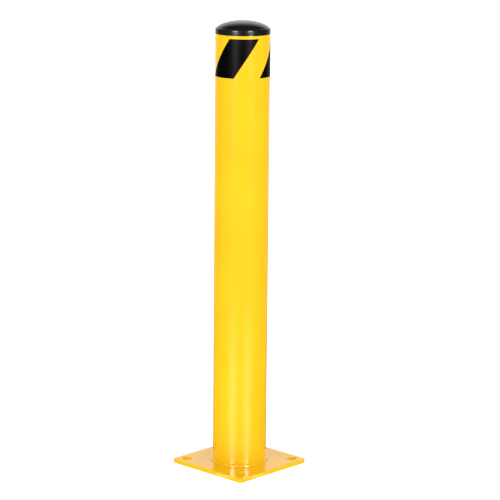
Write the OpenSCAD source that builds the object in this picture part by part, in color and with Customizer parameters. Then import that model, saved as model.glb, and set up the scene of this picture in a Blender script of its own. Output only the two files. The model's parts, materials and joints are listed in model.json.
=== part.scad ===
// Steel safety bollard: a round post welded to a square floor plate, closed by a domed push-in cap
// and marked near its top with three slanted film stripes. Millimetres, +Z up.
// Origin: centre of the floor plate's underside, with the plate's sides along X and Y.

/* [Post tube] */
// Outside diameter of the tube
tube_od = 114.3; // [88.9:0.1:141.3]
// Wall thickness of the tube
tube_wall = 4.76; // [3:0.01:7]
// Length of the tube, which stands on the floor plate
tube_length = 914.4; // [600:0.1:1220]

/* [Floor plate] */
// Side of the square plate
plate_w = 203.2; // [200:0.1:250]
// Thickness of the plate
plate_t = 9.525; // [6:0.005:16]
// Radius of the plate's corners
plate_corner_r = 6.35; // [3:0.05:12]
// Diameter of each anchor hole
hole_d = 22.2; // [12:0.1:24]
// Distance between neighbouring anchor holes, the same both ways
hole_spacing = 158.75; // [150:0.05:165]

/* [Weld] */
// Leg of the fillet weld round the tube's foot
weld_leg = 6; // [3:0.5:8]

/* [Warning stripes] */
// Height of the stripes along the tube
stripe_h = 80.8; // [40:0.1:150]
// Bare tube left between the stripes and the tube's top end
stripe_top_gap = 6.6; // [2:0.1:40]
// Arc that one stripe covers round the tube, in degrees
stripe_arc = 63.5; // [30:0.5:90]
// Arc that a stripe's edge leans by from its bottom to its top, in degrees
stripe_lean = 54; // [20:1:80]
// Direction of the first stripe's middle, in degrees from +X
first_stripe_angle = -70; // [-180:1:180]
// Thickness of the stripe film
film_t = 0.25; // [0.1:0.05:1]

/* [Cap] */
// Outside diameter of the cap's rim
cap_rim_d = 114.8; // [112:0.1:120]
// Height of the rim's straight side
cap_rim_h = 9.5; // [4:0.1:16]
// Radius of the rounded shoulder above the rim
cap_shoulder_r = 3; // [1:0.1:4]
// Rise of the dome above the shoulder
cap_dome_rise = 14.8; // [8:0.1:30]
// Share of the ellipse's half width that the dome's outline uses: more makes a fuller dome
cap_dome_share = 0.95; // [0.5:0.01:0.98]
// Wall thickness of the dome and the plug skirt
cap_wall = 3.5; // [2:0.1:5]
// Depth of the plug skirt inside the tube
plug_depth = 25.4; // [15:0.1:60]
// Gap between the plug skirt and the tube's wall
plug_gap = 1.2; // [0.8:0.1:2]
// Gap between a grip rib and the tube's wall
rib_gap = 0.3; // [0.2:0.05:0.5]
// Number of grip ribs round the plug skirt
rib_count = 12; // [6:1:24]

/* [Hidden] */
$fn = 96;

paint_yellow = "#fdc91f";
film_black = "#121014";
cap_black = "#232628";

tube_r = tube_od / 2;
bore_r = tube_r - tube_wall;
tube_top = plate_t + tube_length;

// The drills run past both faces of what they cut
through = 1;

stripe_z = tube_top - stripe_top_gap - stripe_h;
stripe_pitch = 360 / 3;
// Tilt of the flat cut that makes a stripe's edge, measured from the tube's axis
edge_tilt = atan(tube_r * sin(stripe_lean / 2) / (stripe_h / 2));
cut_size = 2 * (tube_od + stripe_h);

// The bead's bulge is an arc through both toes, centred this far behind the corner
weld_arc_back = weld_leg / 2;
weld_arc_r = norm([weld_leg + weld_arc_back, weld_arc_back]);

cap_rim_r = cap_rim_d / 2;
dome_foot_r = cap_rim_r - cap_shoulder_r;
dome_foot_z = cap_rim_h + cap_shoulder_r;
// The dome's outline is part of an ellipse with these half axes
dome_half_w = dome_foot_r / cap_dome_share;
dome_half_h = cap_dome_rise / (1 - sqrt(1 - cap_dome_share * cap_dome_share));
dome_centre_z = dome_foot_z + cap_dome_rise - dome_half_h;
skirt_r = bore_r - plug_gap;
hollow_r = skirt_r - cap_wall;
lead_in = 1.5;
rib_r = 1.4;
rib_start = 4;

module base_plate() {
    straight = plate_w - 2 * plate_corner_r;
    color(paint_yellow)
    difference() {
        union() {
            translate([-straight / 2, -plate_w / 2, 0]) cube([straight, plate_w, plate_t]);
            translate([-plate_w / 2, -straight / 2, 0]) cube([plate_w, straight, plate_t]);
            at_square(straight) cylinder(r = plate_corner_r, h = plate_t);
        }
        at_square(hole_spacing)
            translate([0, 0, -through]) cylinder(d = hole_d, h = plate_t + 2 * through);
    }
}

// Copies its child to the four corners of a square with the given side
module at_square(side) {
    for (x = [-1, 1], y = [-1, 1])
        translate([x * side / 2, y * side / 2, 0]) children();
}

module base_weld() {
    color(paint_yellow)
    rotate_extrude()
        translate([tube_r, plate_t])
            intersection() {
                translate([-weld_arc_back, -weld_arc_back]) circle(r = weld_arc_r);
                square(weld_leg);
            }
}

module post_tube() {
    color(paint_yellow)
    translate([0, 0, plate_t])
        difference() {
            cylinder(r = tube_r, h = tube_length);
            translate([0, 0, -through]) cylinder(r = bore_r, h = tube_length + 2 * through);
        }
}

module warning_stripe(index) {
    middle = first_stripe_angle + index * stripe_pitch;
    color(film_black)
    intersection() {
        film_band();
        beside_edge(middle - stripe_arc / 2, 0);
        beside_edge(middle + stripe_arc / 2, -cut_size);
    }
}

// The whole ring that the stripes are cut from
module film_band() {
    translate([0, 0, stripe_z])
        difference() {
            cylinder(r = tube_r + film_t, h = stripe_h);
            translate([0, 0, -through]) cylinder(r = tube_r, h = stripe_h + 2 * through);
        }
}

// Everything on one side of a leaning flat cut that crosses the tube at the given direction:
// a start of 0 keeps the anticlockwise side, and a start of -cut_size the clockwise side
module beside_edge(direction, start) {
    translate([0, 0, stripe_z + stripe_h / 2])
        rotate([0, 0, direction])
            rotate([-edge_tilt, 0, 0])
                translate([-cut_size, start, -cut_size])
                    cube([2 * cut_size, cut_size, 2 * cut_size]);
}

module cap() {
    color(cap_black)
    translate([0, 0, tube_top])
        union() {
            rotate_extrude()
                difference() {
                    union() {
                        cap_outside();
                        plug_outside();
                    }
                    cap_inside();
                }
            grip_ribs();
        }
}

// Rim, rounded shoulder and dome, as a half section
module cap_outside() {
    square([cap_rim_r, cap_rim_h]);
    square([dome_foot_r, dome_foot_z]);
    translate([dome_foot_r, cap_rim_h]) circle(r = cap_shoulder_r);
    intersection() {
        dome_ellipse(dome_half_w, dome_half_h);
        square([dome_foot_r, dome_foot_z + cap_dome_rise]);
    }
}

module dome_ellipse(half_w, half_h) {
    translate([0, dome_centre_z]) scale([1, half_h / half_w]) circle(r = half_w);
}

// The plug skirt's outside, narrowed at the bottom so that it finds the tube
module plug_outside() {
    polygon([[0, -plug_depth], [skirt_r - lead_in, -plug_depth],
             [skirt_r, lead_in - plug_depth], [skirt_r, 0], [0, 0]]);
}

// The hollow inside the skirt, closed by the underside of the dome
module cap_inside() {
    translate([0, -plug_depth - through])
        square([hollow_r, plug_depth + through + dome_centre_z]);
    intersection() {
        dome_ellipse(dome_half_w - cap_wall, dome_half_h - cap_wall);
        square([hollow_r, dome_foot_z + cap_dome_rise]);
    }
}

module grip_ribs() {
    for (i = [0 : rib_count - 1])
        rotate([0, 0, i * 360 / rib_count])
            translate([bore_r - rib_gap - rib_r, 0, rib_start - plug_depth])
                cylinder(r = rib_r, h = plug_depth - rib_start);
}

base_plate();
base_weld();
post_tube();
warning_stripe(0);  // warning_stripe_1
warning_stripe(1);  // warning_stripe_2
warning_stripe(2);  // warning_stripe_3
cap();
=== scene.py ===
"""Looks for the steel safety bollard: every piece is built in metres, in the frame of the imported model."""

import json
import math

import bmesh
import bpy
from mathutils import Matrix, Vector, noise


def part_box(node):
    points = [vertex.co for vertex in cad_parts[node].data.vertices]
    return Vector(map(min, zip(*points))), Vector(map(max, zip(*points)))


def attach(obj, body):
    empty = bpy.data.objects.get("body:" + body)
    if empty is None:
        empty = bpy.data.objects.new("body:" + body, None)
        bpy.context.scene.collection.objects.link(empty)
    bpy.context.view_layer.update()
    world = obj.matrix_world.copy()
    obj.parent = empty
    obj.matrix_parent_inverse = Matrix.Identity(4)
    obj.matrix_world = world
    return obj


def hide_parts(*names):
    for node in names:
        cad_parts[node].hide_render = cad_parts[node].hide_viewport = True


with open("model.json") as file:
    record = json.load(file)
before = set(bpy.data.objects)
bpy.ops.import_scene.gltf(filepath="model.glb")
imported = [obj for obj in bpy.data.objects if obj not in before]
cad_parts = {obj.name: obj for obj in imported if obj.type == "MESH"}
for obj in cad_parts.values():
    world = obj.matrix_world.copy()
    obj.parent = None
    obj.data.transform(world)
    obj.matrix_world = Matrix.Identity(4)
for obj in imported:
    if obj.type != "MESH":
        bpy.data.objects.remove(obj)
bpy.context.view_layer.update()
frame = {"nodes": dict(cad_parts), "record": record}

MM = 0.001

# ---------------------------------------------------------------- sizes read from the frame

plate_low, plate_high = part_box("base_plate")
tube_low, tube_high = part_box("post_tube")
weld_low, weld_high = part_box("base_weld")
cap_low, cap_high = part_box("cap")
anchor_holes = next(m for m in frame["record"]["mounts"] if m["name"] == "anchor_holes")

PLATE_TOP = plate_high.z
TUBE_TOP = tube_high.z
TUBE_R = max(tube_high.x, tube_high.y)
WELD_LEG = max(weld_high.x, weld_high.y) - TUBE_R
HOLE_R = anchor_holes["dims"]["hole_r_mm"] * MM
HOLE_X = anchor_holes["dims"]["spacing_x_mm"] / 2 * MM
HOLE_Y = anchor_holes["dims"]["spacing_y_mm"] / 2 * MM
STRIPES = ["warning_stripe_1", "warning_stripe_2", "warning_stripe_3"]

# ---------------------------------------------------------------- sizes shared with the CAD source

PLATE_CORNER_R = 6.35 * MM
TUBE_WALL = 4.76 * MM
BORE_R = TUBE_R - TUBE_WALL
FILM_T = 0.25 * MM
CAP_RIM_R = 57.4 * MM
CAP_RIM_H = 9.5 * MM
CAP_SHOULDER_R = 3.0 * MM
CAP_DOME_RISE = 14.8 * MM
CAP_DOME_SHARE = 0.95
CAP_WALL = 3.5 * MM
SKIRT_R = BORE_R - 1.2 * MM
SKIRT_LEAD_IN = 1.5 * MM
RIB_COUNT = 12
RIB_R = 1.4 * MM
RIB_TIP_R = BORE_R - 0.3 * MM
RIB_START = 4.0 * MM

# ---------------------------------------------------------------- viewpoint

VIEW_AZIMUTH = math.radians(43.76)
VIEW_DISTANCE = 4.307
VIEW_HEIGHT = 1.386
VIEW_PITCH = math.radians(12.037)
VIEW_PAN = math.radians(0.25)
VIEW_ROLL = math.radians(0.545)
VIEW_LENS_MM = 150.6


def toward_viewer(turn_degrees=0.0):
    """Unit vector on the floor from the post towards the viewer, turned about Z as seen from above."""
    angle = VIEW_AZIMUTH - math.pi / 2 + math.radians(turn_degrees)
    return Vector((math.cos(angle), math.sin(angle), 0))


def make_camera():
    data = bpy.data.cameras.new("main_camera")
    data.sensor_width = 36.0
    data.lens = VIEW_LENS_MM
    data.clip_start = 0.05
    data.clip_end = 200.0
    camera = bpy.data.objects.new("main_camera", data)
    bpy.context.scene.collection.objects.link(camera)
    ahead = Matrix.Rotation(-VIEW_PAN, 3, "Z") @ -toward_viewer()
    forward = ahead * math.cos(VIEW_PITCH) - Vector((0, 0, 1)) * math.sin(VIEW_PITCH)
    right = ahead.cross(Vector((0, 0, 1)))
    up = right.cross(forward)
    tilted_right = right * math.cos(VIEW_ROLL) + up * math.sin(VIEW_ROLL)
    tilted_up = up * math.cos(VIEW_ROLL) - right * math.sin(VIEW_ROLL)
    turn = Matrix((tilted_right, tilted_up, -forward)).transposed()
    camera.matrix_world = Matrix.Translation(
        toward_viewer() * VIEW_DISTANCE + Vector((0, 0, VIEW_HEIGHT))
    ) @ turn.to_4x4()
    bpy.context.scene.camera = camera


# ---------------------------------------------------------------- mesh helpers


def mesh_object(name, bm, smooth=True):
    bmesh.ops.recalc_face_normals(bm, faces=bm.faces)
    for face in bm.faces:
        face.smooth = smooth
    data = bpy.data.meshes.new(name)
    bm.to_mesh(data)
    bm.free()
    piece = bpy.data.objects.new(name, data)
    bpy.context.scene.collection.objects.link(piece)
    return piece


def fillet(before, corner, after, radius, steps=5):
    """Points of an arc that rounds a corner, with one more point on each side to hold the flats flat."""
    a = (before - corner).normalized()
    b = (after - corner).normalized()
    half = a.angle(b) / 2
    reach = radius / math.tan(half)
    centre = corner + (a + b).normalized() * (radius / math.sin(half))
    start, end = corner + a * reach, corner + b * reach
    spoke_a, spoke_b = start - centre, end - centre
    sweep = spoke_a.angle(spoke_b)
    points = [corner + a * reach * 1.4]
    for i in range(steps + 1):
        t = i / steps
        spoke = (spoke_a * math.sin((1 - t) * sweep) + spoke_b * math.sin(t * sweep)) / math.sin(sweep)
        points.append(centre + spoke)
    points.append(corner + b * reach * 1.4)
    return points


def rounded_path(corners, closed):
    """A path through (x, y, radius) corners, each rounded by its radius; radius 0 keeps the point."""
    path = []
    for i, (x, y, radius) in enumerate(corners):
        here = Vector((x, y))
        if radius == 0 or (not closed and i in (0, len(corners) - 1)):
            path.append(here)
            continue
        before = Vector(corners[i - 1][:2])
        after = Vector(corners[(i + 1) % len(corners)][:2])
        path.extend(fillet(before, here, after, radius))
    return path


def lathe(name, outline, segments, closed=True, shape=None):
    """Turns a half section, points of (radius, height), about Z. shape(point, angle) may move a point."""
    bm = bmesh.new()
    rings = []
    for point in outline:
        if point.x < 1e-9:
            rings.append([bm.verts.new((0, 0, point.y))] * segments)
            continue
        ring = []
        for i in range(segments):
            angle = 2 * math.pi * i / segments
            r, z = shape(point, angle) if shape else point
            ring.append(bm.verts.new((r * math.cos(angle), r * math.sin(angle), z)))
        rings.append(ring)
    pairs = list(zip(rings, rings[1:]))
    if closed:
        pairs.append((rings[-1], rings[0]))
    for low, high in pairs:
        for i in range(segments):
            j = (i + 1) % segments
            corners = [low[i], low[j], high[j], high[i]]
            corners = [v for k, v in enumerate(corners) if v not in corners[:k]]
            if len(corners) > 2:
                bm.faces.new(corners)
    return mesh_object(name, bm)


def subdivided(start, end, count):
    """Points after start, up to and without end, that split a straight stretch."""
    return [start.lerp(end, i / count) for i in range(1, count)]


# ---------------------------------------------------------------- node helpers


class Nodes:
    """A small builder for one material's node tree."""

    def __init__(self, name):
        self.material = bpy.data.materials.new(name)
        self.material.use_nodes = True
        self.tree = self.material.node_tree
        self.shader = self.tree.nodes["Principled BSDF"]
        self.place = self.add("ShaderNodeTexCoord").outputs["Object"]

    def add(self, kind, **settings):
        node = self.tree.nodes.new(kind)
        for key, value in settings.items():
            setattr(node, key, value)
        return node

    def join(self, source, target):
        self.tree.links.new(source, target)

    def stretched(self, scale):
        """The place on the piece, scaled along each axis."""
        node = self.add("ShaderNodeMapping")
        self.join(self.place, node.inputs["Vector"])
        node.inputs["Scale"].default_value = scale
        return node.outputs["Vector"]

    def noise(self, scale, detail=2.0, roughness=0.5, place=None):
        node = self.add("ShaderNodeTexNoise")
        self.join(place or self.place, node.inputs["Vector"])
        node.inputs["Scale"].default_value = scale
        node.inputs["Detail"].default_value = detail
        node.inputs["Roughness"].default_value = roughness
        return node.outputs["Fac"]

    def spread(self, source, low, high, to_low, to_high):
        """Maps a range of a value to another, and holds it inside."""
        node = self.add("ShaderNodeMapRange")
        self.join(source, node.inputs["Value"])
        for key, value in (("From Min", low), ("From Max", high), ("To Min", to_low), ("To Max", to_high)):
            node.inputs[key].default_value = value
        return node.outputs["Result"]

    def math(self, operation, a, b=0.0):
        node = self.add("ShaderNodeMath", operation=operation)
        for socket, value in zip(node.inputs, (a, b)):
            if isinstance(value, (int, float)):
                socket.default_value = value
            else:
                self.join(value, socket)
        return node.outputs["Value"]

    def mix(self, factor, a, b):
        node = self.add("ShaderNodeMix", data_type="RGBA")
        self.join(factor, node.inputs["Factor"])
        for socket, value in ((node.inputs["A"], a), (node.inputs["B"], b)):
            if isinstance(value, tuple):
                socket.default_value = (*value, 1.0)
            else:
                self.join(value, socket)
        return node.outputs["Result"]

    def blend_values(self, factor, a, b):
        node = self.add("ShaderNodeMix", data_type="FLOAT")
        self.join(factor, node.inputs["Factor"])
        for socket, value in ((node.inputs["A"], a), (node.inputs["B"], b)):
            if isinstance(value, (int, float)):
                socket.default_value = value
            else:
                self.join(value, socket)
        return node.outputs["Result"]

    def bump(self, height, distance, strength=1.0, over=None):
        node = self.add("ShaderNodeBump")
        self.join(height, node.inputs["Height"])
        node.inputs["Distance"].default_value = distance
        node.inputs["Strength"].default_value = strength
        if over is not None:
            self.join(over, node.inputs["Normal"])
        return node.outputs["Normal"]

    def finish(self, colour, roughness, normal, metallic=None):
        self.join(colour, self.shader.inputs["Base Color"])
        self.join(roughness, self.shader.inputs["Roughness"])
        self.join(normal, self.shader.inputs["Normal"])
        if metallic is not None:
            self.join(metallic, self.shader.inputs["Metallic"])
        return self.material


# ---------------------------------------------------------------- materials

YELLOW = (0.93, 0.545, 0.011)
YELLOW_DEEP = (0.88, 0.485, 0.009)


def coat_layers(nodes):
    """Colour, roughness and surface of the yellow powder coat."""
    drift = nodes.spread(nodes.noise(7.0, detail=3.0), 0.3, 0.7, 0.0, 1.0)
    colour = nodes.mix(drift, YELLOW, YELLOW_DEEP)
    mottle = nodes.spread(nodes.noise(140.0, detail=4.0), 0.35, 0.65, 0.0, 0.12)
    colour = nodes.mix(mottle, colour, YELLOW_DEEP)
    roughness = nodes.spread(nodes.noise(40.0, detail=3.0), 0.3, 0.7, 0.1, 0.14)
    peel = nodes.bump(nodes.noise(330.0, detail=1.5), 0.02 * MM)
    surface = nodes.bump(nodes.noise(2200.0, detail=2.0), 0.004 * MM, over=peel)
    return colour, roughness, surface


def powder_coat():
    nodes = Nodes("yellow_powder_coat")
    return nodes.finish(*coat_layers(nodes))


def coated_tube():
    """Powder coat outside; inside the bore it thins out to bare mill-finish steel."""
    nodes = Nodes("yellow_tube_coat")
    colour, roughness, surface = coat_layers(nodes)
    split = nodes.add("ShaderNodeSeparateXYZ")
    nodes.join(nodes.place, split.inputs["Vector"])
    x_squared = nodes.math("POWER", split.outputs["X"], 2.0)
    y_squared = nodes.math("POWER", split.outputs["Y"], 2.0)
    radius = nodes.math("SQRT", nodes.math("ADD", x_squared, y_squared))
    inside = nodes.spread(radius, BORE_R + 0.4 * MM, BORE_R + 1.2 * MM, 1.0, 0.0)
    uneven = nodes.spread(nodes.noise(45.0, detail=4.0), 0.0, 1.0, -20 * MM, 20 * MM)
    height = nodes.math("ADD", split.outputs["Z"], uneven)
    bare = nodes.spread(height, TUBE_TOP - 75 * MM, TUBE_TOP - 20 * MM, 1.0, 0.0)
    bare = nodes.math("MULTIPLY", inside, bare)
    rust = nodes.spread(nodes.noise(38.0, detail=6.0, roughness=0.65), 0.5, 0.72, 0.0, 1.0)
    steel = nodes.mix(rust, (0.17, 0.165, 0.16), (0.15, 0.075, 0.04))
    colour = nodes.mix(bare, colour, steel)
    roughness = nodes.blend_values(bare, roughness, nodes.spread(rust, 0.0, 1.0, 0.42, 0.8))
    metallic = nodes.math("MULTIPLY", bare, nodes.spread(rust, 0.0, 1.0, 0.85, 0.1))
    return nodes.finish(colour, roughness, surface, metallic)


def stripe_film():
    nodes = Nodes("black_film")
    grime = nodes.spread(nodes.noise(55.0, detail=4.0), 0.4, 0.7, 0.0, 1.0)
    colour = nodes.mix(grime, (0.0009, 0.0007, 0.0012), (0.0018, 0.0016, 0.0021))
    roughness = nodes.spread(nodes.noise(28.0, detail=3.0), 0.3, 0.7, 0.3, 0.36)
    surface = nodes.bump(nodes.noise(900.0, detail=2.0), 0.004 * MM)
    nodes.shader.inputs["Specular IOR Level"].default_value = 0.06
    return nodes.finish(colour, roughness, surface)


def cap_plastic():
    nodes = Nodes("black_cap_plastic")
    flow = nodes.spread(nodes.noise(30.0, detail=3.0), 0.35, 0.65, 0.0, 1.0)
    colour = nodes.mix(flow, (0.0065, 0.0072, 0.0074), (0.0095, 0.0102, 0.0106))
    roughness = nodes.spread(nodes.noise(60.0, detail=4.0), 0.3, 0.7, 0.14, 0.22)
    grain = nodes.bump(nodes.noise(1500.0, detail=2.0), 0.006 * MM)
    scuffs = nodes.noise(90.0, detail=5.0, roughness=0.7, place=nodes.stretched((1.0, 9.0, 3.0)))
    surface = nodes.bump(scuffs, 0.01 * MM, over=grain)
    return nodes.finish(colour, roughness, surface)


# ---------------------------------------------------------------- pieces


def finish_piece(piece, body, node, material):
    piece.data.materials.append(material)
    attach(piece, body)
    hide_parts(node)
    return piece


def wander(x, y, z, scale, seed):
    """Smooth value between about -1 and 1 that drifts over a surface."""
    return noise.noise(Vector((x * scale + seed, y * scale - seed, z * scale + 2 * seed)))


def build_tube():
    """The tube, with its sawn ends eased and its outside a hair off true, as rolled tube is."""
    ease = 0.7 * MM
    low, high = PLATE_TOP, TUBE_TOP
    corners = [(BORE_R, low, ease), (TUBE_R, low, ease), (TUBE_R, high, ease), (BORE_R, high, ease)]
    path = rounded_path(corners, closed=True)
    outline = []
    for i, point in enumerate(path):
        outline.append(point)
        after = path[(i + 1) % len(path)]
        if (after - point).length > 0.1:
            outline.extend(subdivided(point, after, 72))

    def out_of_true(point, angle):
        r, z = point
        if abs(r - TUBE_R) > 1e-6:
            return r, z
        x, y = r * math.cos(angle), r * math.sin(angle)
        return r + 0.03 * MM * wander(x, y, z * 0.35, 22.0, 3.1), z

    return lathe("post_tube_coated", outline, 288, shape=out_of_true)


def rounded_square(side_x, side_y, radius, steps=10):
    """Outline of a rectangle with round corners, anticlockwise, as points with outward normals."""
    loop = []
    for quarter in range(4):
        sx = 1 if quarter in (0, 3) else -1
        sy = 1 if quarter in (0, 1) else -1
        centre = Vector((sx * (side_x / 2 - radius), sy * (side_y / 2 - radius)))
        for i in range(steps + 1):
            angle = math.pi / 2 * (quarter + i / steps)
            normal = Vector((math.cos(angle), math.sin(angle)))
            loop.append((centre + normal * radius, normal))
    return loop


def hole_loop(x, y, radius, steps=56):
    """Outline of a drilled hole; its normals point into the hole, out of the metal."""
    loop = []
    for i in range(steps):
        angle = 2 * math.pi * i / steps
        spoke = Vector((math.cos(angle), math.sin(angle)))
        loop.append((Vector((x, y)) + spoke * radius, -spoke))
    return loop


def edge_rings(edge, low, high, steps=5):
    """(inset, height) of the rings down a side whose top and bottom edges are rounded."""
    top = [(edge * 1.6, high)]
    for i in range(steps + 1):
        angle = math.pi / 2 * i / steps
        top.append((edge * (1 - math.sin(angle)), high - edge * (1 - math.cos(angle))))
    bottom = [(inset, low + high - z) for inset, z in reversed(top)]
    return top + bottom


def build_plate():
    """The floor plate: paint-softened edges outside and round the rims of the anchor holes."""
    size = plate_high - plate_low
    outside = edge_rings(0.9 * MM, plate_low.z, PLATE_TOP)
    rim = edge_rings(0.6 * MM, plate_low.z, PLATE_TOP)
    loops = [(rounded_square(size.x, size.y, PLATE_CORNER_R), outside)]
    for x in (-HOLE_X, HOLE_X):
        for y in (-HOLE_Y, HOLE_Y):
            loops.append((hole_loop(x, y, HOLE_R), rim))
    bm = bmesh.new()
    faces_to_fill = {"top": [], "bottom": []}
    for loop, levels in loops:
        rings = []
        for inset, z in levels:
            rings.append([bm.verts.new((*(point - normal * inset), z)) for point, normal in loop])
        for upper, lower in zip(rings, rings[1:]):
            for i in range(len(loop)):
                j = (i + 1) % len(loop)
                bm.faces.new((upper[i], upper[j], lower[j], lower[i]))
        for key, ring in (("top", rings[0]), ("bottom", rings[-1])):
            for i in range(len(ring)):
                faces_to_fill[key].append(bm.edges.get((ring[i], ring[(i + 1) % len(ring)])))
    for edges in faces_to_fill.values():
        bmesh.ops.triangle_fill(bm, use_beauty=True, use_dissolve=False, edges=edges)
    return mesh_object("base_plate_coated", bm)


def build_weld():
    """The fillet bead round the tube's foot, with the ripples that each dab of weld leaves."""
    segments = 900
    profile_steps = 12
    ripples = 96
    sunk = 0.4 * MM
    toe_sunk = 0.15 * MM
    ripple_height = 0.16 * MM
    bm = bmesh.new()
    rings = []
    for i in range(segments):
        turn = 2 * math.pi * i / segments
        cx, cy = math.cos(turn), math.sin(turn)
        reach = WELD_LEG * (0.9 + 0.06 * wander(cx, cy, 0, 3.0, 5.5) + 0.03 * wander(cx, cy, 0, 14.0, 1.7))
        ring = [bm.verts.new(((TUBE_R - sunk) * cx, (TUBE_R - sunk) * cy, PLATE_TOP - sunk))]
        for k in range(profile_steps + 1):
            along = k / profile_steps
            phase = turn * ripples + 2.4 * (along - 0.5) ** 2 + 1.2 * wander(cx, cy, 0, 6.0, 9.3)
            bulge = math.sin(math.pi * along)
            ripple = ripple_height * bulge * abs(math.sin(phase / 2)) ** 0.7
            r = TUBE_R - toe_sunk + along * reach
            z = PLATE_TOP - toe_sunk + (1 - along) * reach
            lift = 0.13 * reach * bulge + ripple
            ring.append(bm.verts.new(((r + lift) * cx, (r + lift) * cy, z + lift)))
        rings.append(ring)
    count = len(rings[0])
    for i in range(segments):
        here, there = rings[i], rings[(i + 1) % segments]
        for k in range(count):
            m = (k + 1) % count
            bm.faces.new((here[k], there[k], there[m], here[m]))
    return mesh_object("base_weld_bead", bm)


def stripe_corners(node):
    """Direction of a CAD stripe's left and right edge at its bottom and its top, and its two heights."""
    low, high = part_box(node)
    middle = (low + high) / 2
    facing = math.atan2(middle.y, middle.x)

    def span(height):
        turns = []
        for vertex in frame["nodes"][node].data.vertices:
            if abs(vertex.co.z - height) < 1e-5:
                turn = math.atan2(vertex.co.y, vertex.co.x) - facing
                turns.append((turn + math.pi) % (2 * math.pi) - math.pi)
        return facing + min(turns), facing + max(turns)

    return span(low.z), span(high.z), low.z, high.z


def build_stripe(node):
    """One slanted film stripe, laid round the tube, with its cut edges turned down onto the paint."""
    (low_left, low_right), (high_left, high_right), low_z, high_z = stripe_corners(node)
    across, up = 56, 40
    outer = TUBE_R + FILM_T
    turned_down = outer - 0.1 * MM
    inner = TUBE_R - 0.06 * MM
    bm = bmesh.new()

    def vertex(i, j, radius):
        s, t = i / across, j / up
        left = low_left + (high_left - low_left) * t
        right = low_right + (high_right - low_right) * t
        turn = left + (right - left) * s
        z = low_z + (high_z - low_z) * t
        return bm.verts.new((radius * math.cos(turn), radius * math.sin(turn), z))

    def face_radius(i, j):
        return turned_down if i in (0, across) or j in (0, up) else outer

    def close_edge(face_line, glue_line):
        for k in range(len(face_line) - 1):
            bm.faces.new((face_line[k], face_line[k + 1], glue_line[k + 1], glue_line[k]))

    face_side = [[vertex(i, j, face_radius(i, j)) for i in range(across + 1)] for j in range(up + 1)]
    glue_side = [[vertex(i, j, inner) for i in range(across + 1)] for j in range(up + 1)]
    for grid in (face_side, glue_side):
        for j in range(up):
            for i in range(across):
                bm.faces.new((grid[j][i], grid[j][i + 1], grid[j + 1][i + 1], grid[j + 1][i]))
    for row in (0, up):
        close_edge(face_side[row], glue_side[row])
    for column in (0, across):
        close_edge([line[column] for line in face_side], [line[column] for line in glue_side])
    return mesh_object(node + "_film", bm)


def dome_arc(half_w, half_h, centre_z, foot_r, steps=40):
    """Points of an elliptical dome from its foot to its top on the axis."""
    sweep = math.asin(foot_r / half_w)
    points = []
    for i in range(steps + 1):
        angle = sweep * (1 - i / steps)
        points.append(Vector((half_w * math.sin(angle), centre_z + half_h * math.cos(angle))))
    return points


def build_cap():
    """The cap in one moulding: dome, crease, shoulder, rim, and the plug skirt with its grip ribs."""
    base = TUBE_TOP
    foot_r = CAP_RIM_R - CAP_SHOULDER_R
    foot_z = base + CAP_RIM_H + CAP_SHOULDER_R
    top_z = foot_z + CAP_DOME_RISE
    plug_z = cap_low.z
    hollow_r = SKIRT_R - CAP_WALL
    half_w = foot_r / CAP_DOME_SHARE
    half_h = CAP_DOME_RISE / (1 - math.sqrt(1 - CAP_DOME_SHARE ** 2))
    dome_centre = top_z - half_h
    under_dome = dome_arc(half_w - CAP_WALL, half_h - CAP_WALL, dome_centre, hollow_r)

    outline = list(reversed(dome_arc(half_w, half_h, dome_centre, foot_r - 0.5 * MM)))
    outline.append(Vector((foot_r - 0.15 * MM, foot_z - 0.12 * MM)))
    edge, inner_edge = 0.5 * MM, 0.3 * MM
    shoulder_steps = 12
    for i in range(shoulder_steps + 1):
        angle = math.pi / 2 * (1 - i / shoulder_steps)
        outline.append(Vector((
            foot_r + CAP_SHOULDER_R * math.cos(angle),
            base + CAP_RIM_H + CAP_SHOULDER_R * math.sin(angle),
        )))
    rim_and_skirt = [
        (CAP_RIM_R, base + CAP_RIM_H - edge, 0),
        (CAP_RIM_R, base, edge),
        (SKIRT_R, base, inner_edge),
        (SKIRT_R, plug_z + SKIRT_LEAD_IN, 0.4 * MM),
        (SKIRT_R - SKIRT_LEAD_IN, plug_z, inner_edge),
        (hollow_r, plug_z, edge),
        (hollow_r, under_dome[0].y, 0),
    ]
    path = rounded_path(rim_and_skirt, closed=False)
    for i, point in enumerate(path):
        outline.append(point)
        if i + 1 < len(path) and abs(point.x - SKIRT_R) < 1e-6 and (path[i + 1] - point).length > 5 * MM:
            outline.extend(subdivided(point, path[i + 1], 24))
    outline.extend(under_dome[1:])

    def ribbed(point, angle):
        r, z = point
        if abs(r - SKIRT_R) > 1e-6 or z > base - edge:
            return r, z
        pitch = 2 * math.pi / RIB_COUNT
        off = ((angle + pitch / 2) % pitch - pitch / 2) * r
        swell = max(0.0, 1 - (off / RIB_R) ** 2) ** 0.5
        ramp = min(1.0, max(0.0, (z - plug_z - RIB_START) / (2 * MM)))
        return r + (RIB_TIP_R - SKIRT_R) * swell * ramp, z

    return lathe("cap_moulding", outline, 480, closed=False, shape=ribbed)


# ---------------------------------------------------------------- studio


FLOOR_SIZE = 60.0


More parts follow.
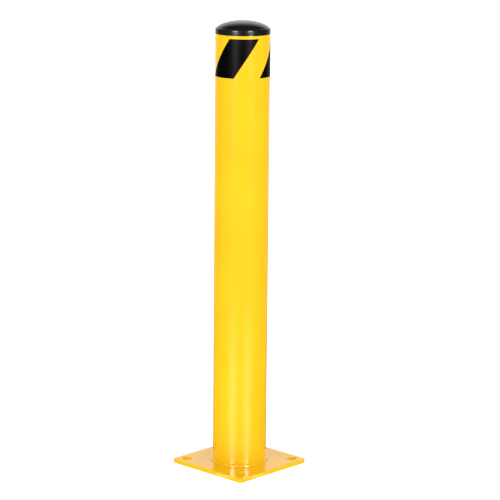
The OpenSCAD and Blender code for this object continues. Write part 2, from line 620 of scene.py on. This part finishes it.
def make_floor():
    """A pale floor that fades to white for the camera, and lifts the foot of the post with a soft glow."""
    bm = bmesh.new()
    bmesh.ops.create_grid(bm, x_segments=8, y_segments=8, size=FLOOR_SIZE / 2)
    floor = mesh_object("studio_floor", bm, smooth=False)
    floor.location.z = -0.2 * MM
    nodes = Nodes("pale_floor")
    tone = nodes.spread(nodes.noise(0.8, detail=2.0), 0.3, 0.7, 0.0, 1.0)
    colour = nodes.mix(tone, (0.82, 0.82, 0.82), (0.84, 0.84, 0.84))
    roughness = nodes.spread(nodes.noise(12.0), 0.3, 0.7, 0.6, 0.7)
    surface = nodes.bump(nodes.noise(300.0), 0.01 * MM)
    nodes.shader.inputs["Emission Color"].default_value = (1, 1, 1, 1)
    reach = nodes.add("ShaderNodeVectorMath", operation="LENGTH")
    nodes.join(nodes.place, reach.inputs[0])
    bounce = nodes.spread(reach.outputs["Value"], 0.15, 0.6, 0.42, 0.5)
    seen = nodes.add("ShaderNodeLightPath").outputs["Is Camera Ray"]
    nodes.join(nodes.blend_values(seen, bounce, 1.0), nodes.shader.inputs["Emission Strength"])
    floor.data.materials.append(nodes.finish(colour, roughness, surface))
    floor.visible_glossy = False


def make_world():
    """White for the camera, even soft light on the pieces, and white in reflections only behind the post."""
    world = bpy.data.worlds.new("studio")
    bpy.context.scene.world = world
    world.use_nodes = True
    tree = world.node_tree
    back = tree.nodes["Background"]

    def ramp(source, low, high, to_low, to_high):
        node = tree.nodes.new("ShaderNodeMapRange")
        node.interpolation_type = "SMOOTHSTEP"
        for key, value in (("From Min", low), ("From Max", high), ("To Min", to_low), ("To Max", to_high)):
            node.inputs[key].default_value = value
        tree.links.new(source, node.inputs["Value"])
        return node.outputs["Result"]

    def combine(operation, a, b):
        node = tree.nodes.new("ShaderNodeMath")
        node.operation = operation
        tree.links.new(a, node.inputs[0])
        if isinstance(b, float):
            node.inputs[1].default_value = b
        else:
            tree.links.new(b, node.inputs[1])
        return node.outputs["Value"]

    direction = tree.nodes.new("ShaderNodeTexCoord").outputs["Generated"]
    facing = tree.nodes.new("ShaderNodeVectorMath")
    facing.operation = "DOT_PRODUCT"
    facing.inputs[1].default_value = toward_viewer()
    tree.links.new(direction, facing.inputs[0])
    split = tree.nodes.new("ShaderNodeSeparateXYZ")
    tree.links.new(direction, split.inputs["Vector"])
    ray = tree.nodes.new("ShaderNodeLightPath")

    behind_post = ramp(facing.outputs["Value"], -0.88, -0.42, 1.0, 0.06)
    below_ceiling = ramp(split.outputs["Z"], 0.45, 0.8, 1.0, 0.22)
    above_ground = ramp(split.outputs["Z"], -0.3, 0.05, 0.15, 1.2)
    reflected = combine("MULTIPLY", combine("MULTIPLY", behind_post, below_ceiling), above_ground)
    soft_light = combine("MULTIPLY", ray.outputs["Is Diffuse Ray"], 0.85)
    lit = combine("MAXIMUM", reflected, soft_light)
    strength = combine("MAXIMUM", lit, ray.outputs["Is Camera Ray"])
    back.inputs["Color"].default_value = (1, 1, 1, 1)
    tree.links.new(strength, back.inputs["Strength"])


LIGHT_DISTANCE = 3.0
LIGHT_AIM = Vector((0, 0, 0.5))


def make_softbox(name, turn, low, high, width, power, shines="diffuse"):
    """An area light beside the viewer's line, aimed at the post, that lights it or shows as its gloss."""
    data = bpy.data.lights.new(name, "AREA")
    data.shape = "RECTANGLE"
    data.size = width
    data.size_y = high - low
    data.energy = power
    light = bpy.data.objects.new(name, data)
    bpy.context.scene.collection.objects.link(light)
    place = toward_viewer(turn) * LIGHT_DISTANCE + Vector((0, 0, (low + high) / 2))
    aim = LIGHT_AIM - place
    light.location = place
    light.rotation_mode = "QUATERNION"
    light.rotation_quaternion = aim.to_track_quat("-Z", "Y")
    light.visible_camera = False
    light.visible_glossy = shines == "gloss"
    light.visible_diffuse = shines == "diffuse"


def make_streak(name, turn):
    """A glowing wedge on the floor that shows only as a soft streak low on the tube, this far round it."""
    near, far, steps = 0.02, 1.9, 24
    fade_start, fade_end = 0.5, 1.7
    half_angle = math.radians(26)
    brightness = 2.3
    bm = bmesh.new()
    rows = []
    for i in range(steps + 1):
        reach = near + (far - near) * i / steps
        rows.append([bm.verts.new((reach, side * reach * math.tan(half_angle), 0)) for side in (-1, 1)])
    for a, b in zip(rows, rows[1:]):
        bm.faces.new((a[0], a[1], b[1], b[0]))
    strip = mesh_object(name, bm, smooth=False)
    mirrored = toward_viewer(2 * turn)
    strip.location = toward_viewer(turn) * TUBE_R + Vector((0, 0, 0.001))
    strip.rotation_euler.z = math.atan2(mirrored.y, mirrored.x)
    nodes = Nodes(name)
    split = nodes.add("ShaderNodeSeparateXYZ")
    nodes.join(nodes.place, split.inputs["Vector"])
    slope = nodes.math("DIVIDE", nodes.math("ABSOLUTE", split.outputs["Y"]), split.outputs["X"])
    across = nodes.spread(slope, 0.0, math.tan(half_angle), 1.0, 0.0)
    along = nodes.spread(split.outputs["X"], fade_start, fade_end, 1.0, 0.0)
    glow = nodes.add("ShaderNodeEmission")
    strength = nodes.math("MULTIPLY", nodes.math("MULTIPLY", across, along), brightness)
    nodes.join(strength, glow.inputs["Strength"])
    nodes.join(glow.outputs["Emission"], nodes.tree.nodes["Material Output"].inputs["Surface"])
    nodes.tree.nodes.remove(nodes.shader)
    strip.data.materials.append(nodes.material)
    strip.visible_camera = False
    strip.visible_diffuse = False
    strip.visible_shadow = False


def make_studio():
    make_floor()
    make_world()
    make_softbox("softbox_left", turn=-38, low=0.05, high=1.6, width=1.2, power=22)
    make_softbox("softbox_right", turn=38, low=0.05, high=1.6, width=1.2, power=22)
    make_softbox("glint_left", turn=-29.5, low=0.88, high=1.6, width=0.9, power=95, shines="gloss")
    make_softbox("glint_right", turn=30.5, low=0.88, high=1.6, width=0.9, power=95, shines="gloss")
    make_streak("streak_left", -15.6)
    make_streak("streak_right", 16.2)
    bpy.context.scene.view_settings.view_transform = "Standard"


# ---------------------------------------------------------------- the scene

make_camera()

paint = powder_coat()
finish_piece(build_plate(), "post", "base_plate", paint)
finish_piece(build_weld(), "post", "base_weld", paint)
finish_piece(build_tube(), "post", "post_tube", coated_tube())
film = stripe_film()
for stripe in STRIPES:
    finish_piece(build_stripe(stripe), "post", stripe, film)
finish_piece(build_cap(), "cap", "cap", cap_plastic())

make_studio()
